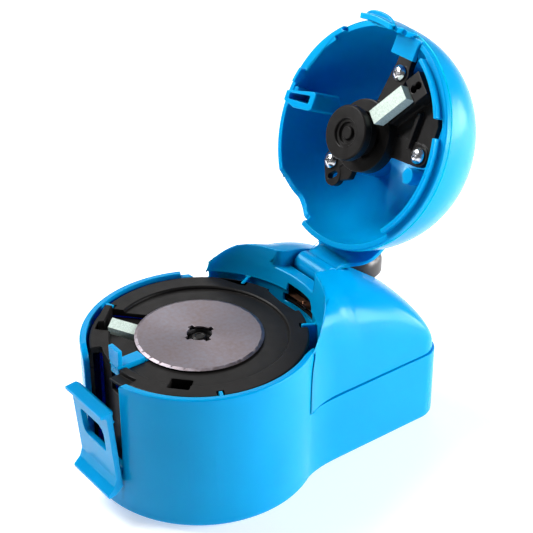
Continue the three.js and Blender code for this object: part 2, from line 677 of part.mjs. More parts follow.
function makeBracket() {
  const tip = polar(33, UPPER_STONE_ANGLE);
  const arms = LID_SCREWS.map((at) => capsule([0, 0], at, 4, BRACKET_Z));
  const holder = radialBox([27, 33.4], 4.6, [56.2, 63], UPPER_STONE_ANGLE);
  const channel = radialBox([13, 27.4], 3.8, [58.6, 63], UPPER_STONE_ANGLE);
  const eyes = [28.9, 31.2].map((r) => rod(1.3, [50, 60], polar(r, UPPER_STONE_ANGLE), 16));
  return cut(
    join(
      ...arms, capsule([0, 0], tip, 4.2, BRACKET_Z), holder, channel,
      capsule([-13, 14], [-8, 20], 3.6, BRACKET_Z), capsule([4, -25], [4, -30.5], 3.4, BRACKET_Z),
      rod(13, [58.6, 63.5], [0, 0], 36), rod(5.4, [62.5, 73], [0, 0], 24),
    ),
    rod(8.4, [57, 62.2], [0, 0], 32),
    rod(2.9, [60, 75], [0, 0], 20),
    capsule([-10.6, 18.6], [-8.6, 16.2], 1, [60, 70]),
    ...eyes,
    ...LID_SCREWS.map((at) => rod(1.7, [60, 70], at, 16)),
  );
}

function addLid(lid) {
  piece(lid, 'lid_shell', 'blue', makeLid());
  piece(lid, 'lid_bracket', 'black', makeBracket());
  piece(lid, 'upper_stone', 'stone', radialBox([13.4, 26.6], 2.7, [DECK_Z + 0.5, 58.3], UPPER_STONE_ANGLE));
  LID_SCREWS.forEach((at, i) => {
    const screw = join(rod(2.9, [60.1, 61.7], at, 14), rod(1.2, [61, 73], at, 8));
    piece(lid, `lid_screw_${i + 1}`, 'screw', screw);
  });
  piece(lid, 'presser_plunger', 'steel', join(
    rod(2.5, [52.5, 75], [0, 0], 20), rod(4.6, [73.5, 75], [0, 0], 20),
  ));
  piece(lid, 'presser_hub', 'black', turned([
    [0, PRESSER_FACE + 0.8], [2.4, PRESSER_FACE + 0.8], [2.4, PRESSER_FACE + 0.2], [4.8, PRESSER_FACE + 0.2],
    [4.8, PRESSER_FACE], [PRESSER_R, PRESSER_FACE], [PRESSER_R, 53.6], [7.4, 54.4], [7.4, 58.6],
    [2.75, 58.6], [2.75, 52.1], [0, 52.1],
  ], 24));
}

// ---- assembly -----------------------------------------------------------------------------------------

function pivotGroup(parent, [y, z], turn) {
  const pivot = new THREE.Group();
  pivot.position.set(0, y, z);
  pivot.rotation.x = rad(turn);
  parent.add(pivot);
  const contents = new THREE.Group();
  contents.position.set(0, -y, -z);
  pivot.add(contents);
  return contents;
}

const sharpener = new THREE.Group();
sharpener.position.y = -ORIGIN_Y;

const lid = pivotGroup(sharpener, [HINGE_Y, HINGE_Z], -LID_OPEN);
const latch = pivotGroup(sharpener, LATCH_PIVOT, LATCH_REST);

addHousing(sharpener);
addPlatform(sharpener);
addDrive(sharpener);
addElectrics(sharpener);
piece(latch, 'latch_clip', 'blue', makeLatch());
addLid(lid);

export default sharpener;
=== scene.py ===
import json
import math

import bmesh
import bpy
from mathutils import Matrix, Vector


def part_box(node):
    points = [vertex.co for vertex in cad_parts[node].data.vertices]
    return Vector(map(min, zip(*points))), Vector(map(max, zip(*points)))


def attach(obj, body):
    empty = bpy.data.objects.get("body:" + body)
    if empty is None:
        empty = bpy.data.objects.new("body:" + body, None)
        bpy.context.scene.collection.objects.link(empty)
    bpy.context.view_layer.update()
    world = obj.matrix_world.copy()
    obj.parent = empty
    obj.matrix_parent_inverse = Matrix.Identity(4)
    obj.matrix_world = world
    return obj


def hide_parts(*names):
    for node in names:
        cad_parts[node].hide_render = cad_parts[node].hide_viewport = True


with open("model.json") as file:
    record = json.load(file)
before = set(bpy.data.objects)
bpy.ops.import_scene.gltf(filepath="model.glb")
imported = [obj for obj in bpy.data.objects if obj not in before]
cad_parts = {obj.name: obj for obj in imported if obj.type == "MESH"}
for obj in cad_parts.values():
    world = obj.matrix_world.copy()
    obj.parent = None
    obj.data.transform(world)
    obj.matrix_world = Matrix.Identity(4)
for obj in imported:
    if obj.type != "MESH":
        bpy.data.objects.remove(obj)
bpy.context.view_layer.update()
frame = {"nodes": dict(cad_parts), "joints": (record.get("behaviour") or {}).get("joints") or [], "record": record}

# All shapes are made in millimetres in the working frame: the spindle stands at x = y = 0, the feet on z = 0,
# the latch at -Y and the lid hinge at +Y. place() turns them into metres in the row frame.

spindle_low, spindle_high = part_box("spindle_shaft")
SPINDLE = (spindle_low + spindle_high) / 2
joints = {j["name"]: j for j in frame["joints"]}


def working_point(joint):
    """A joint's point, from the record, in millimetres in the working frame."""
    x, y, z = joints[joint]["pos_m"]
    return Vector((x - SPINDLE.x, y - SPINDLE.y, z)) * 1000


HINGE = working_point("lid_hinge")
LATCH_PIVOT = working_point("latch_swing")
LEVER_PIVOT = working_point("lever_tilt")
LID_OPEN = joints["lid_hinge"]["range_deg"][1]
LATCH_OUT = joints["latch_swing"]["range_deg"][1]

DECK_Z = 53.0
DRUM_R = 41.2
DRUM_TOP = 54.0
WALL = 2.3
BASE_Z = 1.2
SEAM_Z = 29.5
GAP = 0.14
RECESS_R = 30.8
DECK_R = 37.9
LID_R = 40.8
LID_RIM = 56.4
LID_RISE = 38.0
LID_POWER = 2.25
FINE = 160  # sides of the large round shapes
BEVEL_ANGLE = 36  # degrees between two faces, above which their edge is rounded
SHARP_ANGLE = 32  # degrees between two faces, above which their edge is shaded as an edge

# ---- meshes -------------------------------------------------------------------------------------------


def polar(radius, degrees, centre=(0, 0)):
    a = math.radians(degrees)
    return (centre[0] + radius * math.cos(a), centre[1] + radius * math.sin(a))


def arc(centre, radii, start, end, steps):
    points = []
    for i in range(steps + 1):
        a = math.radians(start + (end - start) * i / steps)
        points.append((centre[0] + radii[0] * math.cos(a), centre[1] + radii[1] * math.sin(a)))
    return points


def curve(start, control, end, steps):
    """Points of a quadratic curve, ends left out."""
    points = []
    for i in range(1, steps):
        t = i / steps
        a, b, c = (1 - t) ** 2, 2 * t * (1 - t), t * t
        points.append(tuple(a * start[k] + b * control[k] + c * end[k] for k in range(2)))
    return points


def rounded(points, radius, steps=5):
    """A closed outline with each corner turned into an arc. A point's third value is a radius of its own."""
    out = []
    count = len(points)
    for i, point in enumerate(points):
        here = Vector(point[:2])
        r = point[2] if len(point) > 2 else radius
        before = Vector(points[i - 1][:2]) - here
        after = Vector(points[(i + 1) % count][:2]) - here
        if r <= 0 or before.length < 1e-6 or after.length < 1e-6:
            out.append(tuple(here))
            continue
        angle = before.angle(after)
        if angle > math.pi - 0.02:
            out.append(tuple(here))
            continue
        reach = min(r / math.tan(angle / 2), 0.49 * before.length, 0.49 * after.length)
        a, b = here + before.normalized() * reach, here + after.normalized() * reach
        out.append(tuple(a))
        out.extend(curve(a, here, b, steps))
        out.append(tuple(b))
    return out


def solid(verts, faces):
    mesh = bpy.data.meshes.new("part")
    mesh.from_pydata([tuple(v) for v in verts], [], faces)
    obj = bpy.data.objects.new("part", mesh)
    bpy.context.scene.collection.objects.link(obj)
    bm = bmesh.new()
    bm.from_mesh(mesh)
    bmesh.ops.remove_doubles(bm, verts=bm.verts, dist=1e-5)
    bmesh.ops.recalc_face_normals(bm, faces=bm.faces)
    bm.to_mesh(mesh)
    bm.free()
    return obj


def extrude(outline, low, high, lift):
    """A prism of a 2-D outline; lift(u, v, w) puts it in space."""
    n = len(outline)
    verts = [lift(u, v, low) for u, v in outline] + [lift(u, v, high) for u, v in outline]
    faces = [tuple(range(n))[::-1], tuple(range(n, 2 * n))]
    faces += [(i, (i + 1) % n, n + (i + 1) % n, n + i) for i in range(n)]
    return solid(verts, faces)


def slab(outline, heights):
    return extrude(outline, *heights, lambda x, y, z: (x, y, z))


def side_slab(outline, across):
    """An outline of (y, z) points, between two x values."""
    return extrude(outline, *across, lambda y, z, x: (x, y, z))


def front_slab(outline, depth):
    """An outline of (x, z) points, between two y values."""
    return extrude(outline, *depth, lambda x, z, y: (x, y, z))


def box(x, y, z):
    return slab([(x[0], y[0]), (x[1], y[0]), (x[1], y[1]), (x[0], y[1])], z)


def turned(profile, sides=FINE, centre=(0, 0)):
    """A closed profile of (radius, height) points turned about an upright axis."""
    verts, rows = [], []
    for r, z in profile:
        if r < 1e-6:
            rows.append([len(verts)] * sides)
            verts.append((centre[0], centre[1], z))
        else:
            rows.append(list(range(len(verts), len(verts) + sides)))
            verts += [(*polar(r, 360 * i / sides, centre), z) for i in range(sides)]
    faces = []
    for a, b in zip(rows, rows[1:] + rows[:1]):
        if a[0] == a[1] and b[0] == b[1]:
            continue
        for i in range(sides):
            j = (i + 1) % sides
            corners = [a[i], a[j], b[j], b[i]]
            faces.append(tuple(dict.fromkeys(corners)))
    return solid(verts, faces)


def rod(radius, z, at=(0, 0), sides=48):
    """An upright round bar."""
    return turned([(0, z[0]), (radius, z[0]), (radius, z[1]), (0, z[1])], sides, at)


def ring(outer, inner, z, sides=64):
    return turned([(inner, z[0]), (outer, z[0]), (outer, z[1]), (inner, z[1])], sides)


def cross_rod(radius, across, at, sides=40):
    """A round bar along X, centred at a (y, z) point."""
    return side_slab(arc(at, (radius, radius), 0, 360 - 360 / sides, sides - 1), across)


def end_rod(radius, depth, at):
    """A round bar along Y, centred at an (x, z) point."""
    return front_slab(arc(at, (radius, radius), 0, 351, 39), depth)


def band(radii, span, heights):
    """A stretch of an upright round wall, over a span of angles, with a corner about every 2.5 degrees."""
    steps = max(2, round((span[1] - span[0]) / 2.5))
    outside = arc((0, 0), (radii[1], radii[1]), *span, steps)
    return slab(outside + arc((0, 0), (radii[0], radii[0]), span[1], span[0], steps), heights)


def capsule(a, b, radius, heights):
    """An upright slab with round ends, centred at a and b."""
    along = math.degrees(math.atan2(b[1] - a[1], b[0] - a[0]))
    return slab(arc(b, (radius, radius), along - 90, along + 90, 20)
                + arc(a, (radius, radius), along + 90, along + 270, 20), heights)


def loft(sections):
    """A skin over cross-sections with the same number of points, closed at both ends."""
    count = len(sections[0])
    verts = [p for s in sections for p in s]
    faces = []
    for s in range(len(sections) - 1):
        for i in range(count):
            j = (i + 1) % count
            faces.append((s * count + i, s * count + j, (s + 1) * count + j, (s + 1) * count + i))
    last = (len(sections) - 1) * count
    faces.append(tuple(range(count))[::-1])
    faces.append(tuple(range(last, last + count)))
    return solid(verts, faces)


def turn(obj, degrees, axis="Z", centre=(0, 0, 0)):
    c = Vector(centre)
    obj.data.transform(Matrix.Translation(c) @ Matrix.Rotation(math.radians(degrees), 4, axis)
                       @ Matrix.Translation(-c))
    return obj


def shift(obj, x, y, z):
    obj.data.transform(Matrix.Translation((x, y, z)))
    return obj


def radial_box(r, half, heights, degrees):
    """A box between two distances from the spindle, in the direction of an angle."""
    return turn(box(r, (-half, half), heights), degrees)


# ---- joining, cutting and edges -----------------------------------------------------------------------


def bake(obj):
    """Turns an object's modifiers into its mesh."""
    bpy.context.view_layer.update()
    graph = bpy.context.evaluated_depsgraph_get()
    mesh = bpy.data.meshes.new_from_object(obj.evaluated_get(graph))
    old = obj.data
    obj.modifiers.clear()
    obj.data = mesh
    bpy.data.meshes.remove(old)
    return obj


def combine(operation, base, tools):
    for tool in tools:
        modifier = base.modifiers.new("combine", "BOOLEAN")
        modifier.operation, modifier.solver, modifier.object = operation, "MANIFOLD", tool
    bake(base)
    for tool in tools:
        bpy.data.objects.remove(tool)
    return base


def join(base, *tools):
    return combine("UNION", base, tools)


def cut(base, *tools):
    return combine("DIFFERENCE", base, tools)


def meet(base, *tools):
    return combine("INTERSECT", base, tools)


def soften(obj, width=0.3, segments=2, quarter=()):
    """Rounds the edges sharper than BEVEL_ANGLE and shades the rest as one smooth surface.

    quarter: x and y values at which wide flat faces are split, so that none of them wraps round a hole."""
    bm = bmesh.new()
    bm.from_mesh(obj.data)
    bmesh.ops.remove_doubles(bm, verts=bm.verts, dist=0.004)
    bmesh.ops.dissolve_degenerate(bm, edges=bm.edges, dist=0.004)
    bmesh.ops.dissolve_limit(bm, angle_limit=math.radians(0.2), verts=bm.verts, edges=bm.edges,
                             delimit={"NORMAL"})
    for at in quarter:
        for normal in ((1, 0, 0), (0, 1, 0)):
            bmesh.ops.bisect_plane(bm, geom=[*bm.verts, *bm.edges, *bm.faces], dist=1e-4,
                                   plane_co=(at, at, 0), plane_no=normal)
    bm.to_mesh(obj.data)
    bm.free()
    if width:
        modifier = obj.modifiers.new("edges", "BEVEL")
        modifier.width, modifier.segments = width, segments
        modifier.limit_method, modifier.angle_limit = "ANGLE", math.radians(BEVEL_ANGLE)
        modifier.use_clamp_overlap = False
        modifier.miter_outer = "MITER_ARC"
        bake(obj)
    bm = bmesh.new()
    bm.from_mesh(obj.data)
    bmesh.ops.triangulate(bm, faces=[f for f in bm.faces if len(f.verts) > 4], ngon_method="EAR_CLIP")
    for face in bm.faces:
        face.smooth = True
    for edge in bm.edges:
        edge.smooth = len(edge.link_faces) == 2 and edge.calc_face_angle(0) < math.radians(SHARP_ANGLE)
    bm.to_mesh(obj.data)
    bm.free()
    modifier = obj.modifiers.new("normals", "WEIGHTED_NORMAL")
    modifier.keep_sharp, modifier.weight = True, 80
    return bake(obj)


def place(obj, name, body, material, slot, *nodes, pivot=None, turned_by=0):
    """Names a finished shape, swings it to its rest pose and fixes it to its body in the row frame."""
    if pivot is not None:
        turn(obj, turned_by, "X", pivot)
    scale = Matrix.Diagonal((0.001, 0.001, 0.001, 1))
    obj.data.transform(Matrix.Translation((SPINDLE.x, SPINDLE.y, 0)) @ scale)
    obj.name = obj.data.name = name
    obj.data.materials.clear()
    obj.data.materials.append(material)
    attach(obj, body)
    if nodes:
        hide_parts(*nodes)
    return obj


# ---- materials ----------------------------------------------------------------------------------------


class Nodes:
    """A Principled material whose colour, roughness and bump come from object-space noise."""

    def __init__(self, name):
        self.material = bpy.data.materials.new(name)
        self.material.use_nodes = True
        self.tree = self.material.node_tree
        self.shader = next(n for n in self.tree.nodes if n.type == "BSDF_PRINCIPLED")
        self.coords = self.tree.nodes.new("ShaderNodeTexCoord").outputs["Object"]

    def noise(self, scale, detail=3.0, stretch=None):
        node = self.tree.nodes.new("ShaderNodeTexNoise")
        node.inputs["Scale"].default_value = scale
        node.inputs["Detail"].default_value = detail
        source = self.coords
        if stretch:
            mapping = self.tree.nodes.new("ShaderNodeMapping")
            mapping.inputs["Scale"].default_value = stretch
            self.tree.links.new(source, mapping.inputs["Vector"])
            source = mapping.outputs["Vector"]
        self.tree.links.new(source, node.inputs["Vector"])
        return node.outputs["Fac"]

    def ramp(self, value, stops):
        node = self.tree.nodes.new("ShaderNodeValToRGB")
        elements = node.color_ramp.elements
        while len(elements) < len(stops):
            elements.new(0.5)
        for element, (place_at, colour) in zip(elements, stops):
            element.position = place_at
            element.color = (*colour, 1)
        self.tree.links.new(value, node.inputs["Fac"])
        return node.outputs["Color"]

    def spread(self, value, low, high):
        node = self.tree.nodes.new("ShaderNodeMapRange")
        node.inputs["From Min"].default_value, node.inputs["From Max"].default_value = 0.3, 0.7
        node.inputs["To Min"].default_value, node.inputs["To Max"].default_value = low, high
        self.tree.links.new(value, node.inputs["Value"])
        return node.outputs["Result"]

    def link(self, output, socket):
        self.tree.links.new(output, self.shader.inputs[socket])
        return self

    def set(self, **values):
        for name, value in values.items():
            self.shader.inputs[name.replace("_", " ")].default_value = value
        return self

    def bump(self, height, strength, distance):
        node = self.tree.nodes.new("ShaderNodeBump")
        node.inputs["Strength"].default_value = strength
        node.inputs["Distance"].default_value = distance
        self.tree.links.new(height, node.inputs["Height"])
        self.tree.links.new(node.outputs["Normal"], self.shader.inputs["Normal"])
        return self


def blue_plastic():
    n = Nodes("blue_moulded_plastic")
    n.link(n.ramp(n.noise(38, 2), [(0.35, (0.0, 0.285, 0.6)), (0.65, (0.0, 0.3, 0.625))]), "Base Color")
    n.link(n.spread(n.noise(30, 2), 0.2, 0.24), "Roughness")
    n.set(IOR=1.35, Specular_IOR_Level=0.36, Specular_Tint=(0.4, 0.85, 1.0, 1), Subsurface_Weight=0.45,
          Subsurface_Radius=(0.1, 0.7, 1.0), Subsurface_Scale=0.004)
    return n.bump(n.noise(700, 2), 0.02, 0.0001).material


def black_plastic():
    n = Nodes("black_matt_plastic")
    n.link(n.ramp(n.noise(60, 4), [(0.3, (0.0075, 0.0068, 0.0066)), (0.7, (0.013, 0.012, 0.0115))]),
           "Base Color")
    n.link(n.spread(n.noise(300, 5), 0.3, 0.42), "Roughness")
    n.set(IOR=1.3, Specular_IOR_Level=0.36)
    return n.bump(n.noise(2600, 4), 0.25, 0.0001).material


def button_plastic():
    n = Nodes("button_satin_plastic")
    n.link(n.ramp(n.noise(80, 3), [(0.3, (0.026, 0.022, 0.021)), (0.7, (0.036, 0.031, 0.029))]), "Base Color")
    n.link(n.spread(n.noise(260, 3), 0.3, 0.4), "Roughness")
    return n.bump(n.noise(1800, 3), 0.1, 0.0001).material


def blade_steel():
    n = Nodes("ground_blade_steel")
    fine = n.noise(1.0, 8, (700, 700, 60))
    mottled = n.noise(70, 6)
    mix = n.tree.nodes.new("ShaderNodeMix")
    mix.data_type = "FLOAT"
    mix.inputs["Factor"].default_value = 0.45
    n.tree.links.new(fine, mix.inputs["A"])
    n.tree.links.new(mottled, mix.inputs["B"])
    value = mix.outputs["Result"]
    stops = [(0.32, (0.25, 0.20, 0.205)), (0.5, (0.288, 0.25, 0.276)), (0.68, (0.31, 0.30, 0.345))]
    n.link(n.ramp(value, stops), "Base Color")
    n.link(n.spread(value, 0.34, 0.5), "Roughness")
    n.set(Metallic=1.0, Anisotropic=0.3)
    return n.bump(fine, 0.25, 0.00006).material


def plain_steel(name, colour, roughness):
    n = Nodes(name)
    n.link(n.ramp(n.noise(240, 5), [(0.3, tuple(c * 0.88 for c in colour)), (0.7, colour)]), "Base Color")
    n.link(n.spread(n.noise(500, 4), roughness * 0.8, roughness * 1.25), "Roughness")
    n.set(Metallic=1.0)
    return n.bump(n.noise(1500, 3), 0.08, 0.0001).material


def abrasive_stone():
    n = Nodes("abrasive_stone")
    grain = n.noise(1900, 6)
    n.link(n.ramp(grain, [(0.3, (0.40, 0.50, 0.44)), (0.55, (0.56, 0.66, 0.60)), (0.75, (0.66, 0.74, 0.69))]),
           "Base Color")
    n.link(n.spread(n.noise(200, 3), 0.8, 0.92), "Roughness")
    return n.bump(grain, 0.5, 0.00012).material


def soft_rubber():
    n = Nodes("soft_rubber")
    n.link(n.ramp(n.noise(120, 4), [(0.3, (0.012, 0.012, 0.012)), (0.7, (0.022, 0.021, 0.02))]), "Base Color")
    n.link(n.spread(n.noise(400, 3), 0.75, 0.9), "Roughness")
    return n.bump(n.noise(2200, 4), 0.3, 0.0001).material


def circuit_board():
    n = Nodes("circuit_board_green")
    n.link(n.ramp(n.noise(300, 2), [(0.4, (0.01, 0.07, 0.03)), (0.6, (0.02, 0.12, 0.05))]), "Base Color")
    n.link(n.spread(n.noise(500, 3), 0.35, 0.5), "Roughness")
    return n.bump(n.noise(900, 3), 0.2, 0.0001).material


BLUE = blue_plastic()
BLACK = black_plastic()
BUTTON = button_plastic()
BLADE = blade_steel()
STONE = abrasive_stone()
RUBBER = soft_rubber()
BOARD = circuit_board()
STEEL = plain_steel("machined_steel", (0.58, 0.58, 0.59), 0.3)
SCREW = plain_steel("bright_screw_steel", (0.86, 0.86, 0.88), 0.2)
BRASS = plain_steel("plain_brass", (0.34, 0.17, 0.1), 0.4)
MAGNET = plain_steel("magnet_iron", (0.2, 0.2, 0.21), 0.45)

# ---- lower housing ------------------------------------------------------------------------------------

WAIST_ANGLE = 30.3
TUB_HALF = 33.0
TUB_REAR = 86.3
TUB_CORNER = 9.0
FEET = [(-22, -22), (22, -22), (-22, 66), (22, 66)]
COVER_SCREWS = [(-26, 40), (26, 40), (-22, 75.5), (22, 75.5)]
BOSS_R = 3.8
SCREW_BORE_R = 1.6
POST_R = 32.0  # how far the platform's posts stand from the spindle
POST_ANGLES = (-75, 35, 150)
RIB_ANGLES = (61, 119, 204, 336)  # the first two on the rear cover, the others on the drum


def footprint(inset):
    """The outline of drum and tub, seen from above."""
    r, half, rear, corner = DRUM_R - inset, TUB_HALF - inset, TUB_REAR - inset, TUB_CORNER - inset
    waist = polar(r, WAIST_ANGLE)
    return [
        *arc((0, 0), (r, r), 180 - WAIST_ANGLE, 360 + WAIST_ANGLE, 110),
        *curve(waist, (half, 26), (half, 36), 16),
        (half, 36),
        *arc((half - corner, rear - corner), (corner, corner), 0, 90, 16),
        *arc((corner - half, rear - corner), (corner, corner), 90, 180, 16),
        (-half, 36),
        *curve((-half, 36), (-half, 26), (-waist[0], waist[1]), 16),
    ]


def wall_ribs(radius, angles):
    """Upright ribs on the drum's wall, which stand in notches in the platform's edge."""
    return [radial_box((35.6, radius), 0.65, (40, DECK_Z + 0.4), a) for a in angles]


def make_housing():
    """Drum and tub in one shell, open at the top and at the front, with bosses, ribs and screw holes."""
    edge = 1.8  # the radius of the rounding at the foot
    layers = []
    for i in range(6):
        a = math.pi / 2 * i / 5
        inset, z = edge * (1 - math.sin(a)), BASE_Z + edge * (1 - math.cos(a))
        layers.append([(x, y, z) for x, y in footprint(inset)])
    layers.append([(x, y, SEAM_Z) for x, y in footprint(0)])
    tub = loft(layers)
    drum = turned([(0, 10), (DRUM_R, 10), (DRUM_R, DRUM_TOP - 0.7),
                   *curve((DRUM_R, DRUM_TOP - 0.7), (DRUM_R, DRUM_TOP), (DRUM_R - 0.7, DRUM_TOP), 4),
                   (DRUM_R - 0.7, DRUM_TOP), (0, DRUM_TOP)])
    # above the seam the drum's wall stops at its waist, and its left end is a little lower
    waist_y = polar(DRUM_R, WAIST_ANGLE)[1]
    behind = [(-60, waist_y - 0.3), (30, waist_y - 0.3), (30, 24.8), (60, 24.8), (60, 100), (-60, 100)]
    outer = cut(join(tub, drum), slab(behind, (SEAM_Z, 70)), band((36, 44), (140, 155), (52.3, 60)))
    inner = join(slab(footprint(WALL), (3.6, 70)), rod(DRUM_R - WALL, (3.6, 70), sides=FINE))
    shell = cut(outer, inner)
    bosses = [rod(BOSS_R, (BASE_Z + 0.1, SEAM_Z - 0.2), at) for at in COVER_SCREWS]
    ribs = wall_ribs(DRUM_R - 1, RIB_ANGLES[2:])
    shell = join(shell, *bosses, *ribs, rod(8, (BASE_Z + 0.1, 7)))
    opening = front_slab([
        (-11.7, 11.5), (10.6, 11.5), (10.6, 53.0), (11.4, DRUM_TOP), (11.4, 60), (-17.5, 60),
        (-17.5, DRUM_TOP),
        *curve((-17.5, DRUM_TOP), (-11.9, DRUM_TOP - 0.4), (-11.7, DRUM_TOP - 6.5), 8),
        (-11.7, DRUM_TOP - 6.5),
    ], (-60, -30))
    holes = [rod(3.1, (0, 21.8), at) for at in COVER_SCREWS]
    holes += [rod(SCREW_BORE_R, (20, SEAM_Z + 1), at, 24) for at in COVER_SCREWS]
    holes += [rod(1.7, (0, 4.6), polar(POST_R, a), 24) for a in POST_ANGLES]
    holes += [rod(4.9, (0, BASE_Z + 0.5), at) for at in FEET]
    housing = cut(shell, opening, rod(5.2, (4.4, 8)), cross_rod(0.95, (-14.2, 13.2), LATCH_PIVOT.yz),
                  end_rod(4.4, (TUB_REAR - 6, TUB_REAR + 1), (0, 15)), *holes)
    place(soften(housing), "lower_housing_shell", "housing", BLUE, "blue_plastic", "lower_housing")


# ---- rear cover ---------------------------------------------------------------------------------------

COVER_HALF = 32.3
COVER_REAR = 85.6
COVER_HEIGHT = 37.0
COVER_CREST_Y = 38.0
COVER_POWER = 1.8
CONCAVE_R = 40.2
FLARE_R = 41.9
FLARE_TOP_R = 44.2
BUTTON_Y = 70.5
BUTTON_R = 9.4


def cover_section(y, height, inset):
    """The cover's cross-section at y: half a superellipse, swollen in front, drawn in at the rear."""
    steps = 56
    corner = TUB_CORNER - inset
    into_corner = min(corner, max(0.0, y - (COVER_REAR - inset - corner)))
    swell = 3.6 * ((36 - y) / 15) ** 2 if y < 36 else 0
    half = COVER_HALF + swell - inset - corner + math.sqrt(corner ** 2 - into_corner ** 2)
    power = 5.2 if y < 35 else max(3.3, 5.2 - (y - 35) / 5)
    foot = SEAM_Z + GAP
    points = []
    for i in range(steps + 1):
        a = math.pi * i / steps
        c, s = math.cos(a), math.sin(a)
        x = half * math.copysign(abs(c) ** (2 / power), c)
        # the ends of a hollow's section lie below the seam, so that it opens downwards
        z = foot - inset if i in (0, steps) else foot + height * s ** (2 / power)
        points.append((x, y, z))
    return points


def hump(inset):
    """The cover's outer body: level in front of its crest, then falling in a curve to the rear."""
    depth = COVER_REAR - COVER_CREST_Y - inset
    height = COVER_HEIGHT - inset
    front = 20.8 + inset * 0.5
    sections = [cover_section(front + 14.2 * i / 17, height, inset) for i in range(18)]
    steps = 34
    for i in range(steps):
        along = 0.02 + 0.975 * math.sin(math.pi / 2 * i / (steps - 1))
        h = height * (1 - along ** COVER_POWER) ** (1 / COVER_POWER)
        sections.append(cover_section(COVER_CREST_Y + depth * along, h, inset))
    return loft(sections)


def lid_space(grow):
    """The room of the closed lid in front of the hump, as a solid that is wider by grow."""
    top = 69
    wall = [(CONCAVE_R, SEAM_Z - 2), (CONCAVE_R, 50), (40.6, 52.6), (41.3, 54.8), (FLARE_R, 57.5), (42.5, 61),
            (43.3, 65), (FLARE_TOP_R, top)]
    return turned([(0, SEAM_Z - 2), *[(r + grow, z) for r, z in wall], (0, top)])


HINGE_HALF = 7.85
POCKET_HALF = HINGE_HALF + 1.15


def make_rear_cover():
    # the hollow leaves material under the hinge pocket and in the cover's front ends
    hollow = cut(hump(WALL), lid_space(WALL), box((-11.4, 11.4), (38, 60), (53.5, 72)),
                 box((-50, 50), (0, 24.5), (0, 80)))
    shell = cut(hump(0), lid_space(0), hollow, rod(DRUM_R + 0.4, (28, 53.2), sides=FINE),
                box((-60, -32.2), (0, 27.2), (50, 70)))
    bosses = [meet(rod(BOSS_R, (SEAM_Z + GAP, 62), at), hump(0.4)) for at in COVER_SCREWS]
    shell = join(shell, *bosses, *wall_ribs(CONCAVE_R + 1, RIB_ANGLES[:2]))
    pocket = slab([
        (-POCKET_HALF - 4, 39), (POCKET_HALF + 4, 39), (POCKET_HALF + 1.6, 42.1), (POCKET_HALF + 0.4, 43.3),
        (POCKET_HALF, 45), (POCKET_HALF, 59), (-POCKET_HALF, 59), (-POCKET_HALF, 45),
        (-POCKET_HALF - 0.4, 43.3), (-POCKET_HALF - 1.6, 42.1),
    ], (59.6, 72))
    pit = box((-POCKET_HALF, POCKET_HALF), (46.6, 59), (55.4, 72))
    slot = front_slab(rounded([(-3.6, 56), (10.2, 56, 2.5), (12.8, 54, 2), (12.8, 48.6), (-5.8, 48.0),
                               (-5.8, 51.2), (-3.6, 51.2)], 0.3, 4), (35, 43.2))
    switch_bay = box((-6.6, 13.5), (42.2, 46.3), (47.3, 56.5))
    cover = cut(shell, pocket, pit, slot, switch_bay, cross_rod(1.6, (-11.1, 11.1), HINGE.yz),
                rod(BUTTON_R + 0.6, (48, 80), (0, BUTTON_Y), 96),
                *[rod(SCREW_BORE_R, (SEAM_Z - 1, 41), at, 24) for at in COVER_SCREWS])
    place(soften(cover, 0.45, 3), "rear_cover_shell", "housing", BLUE, "blue_plastic", "rear_cover")


make_housing()
make_rear_cover()

# ---- platform, lower stone and lever ------------------------------------------------------------------

STONE_ANGLE = 223.5
STONE_HALF = 3.1
SQUARE_HOLE_ANGLE = -47.2
LEVER_X = -0.8


def stone_slab(points, heights):
    """A slab in the lower stone's direction: distances from the spindle, then sideways towards the lever."""
    return turn(slab(points, heights), STONE_ANGLE)


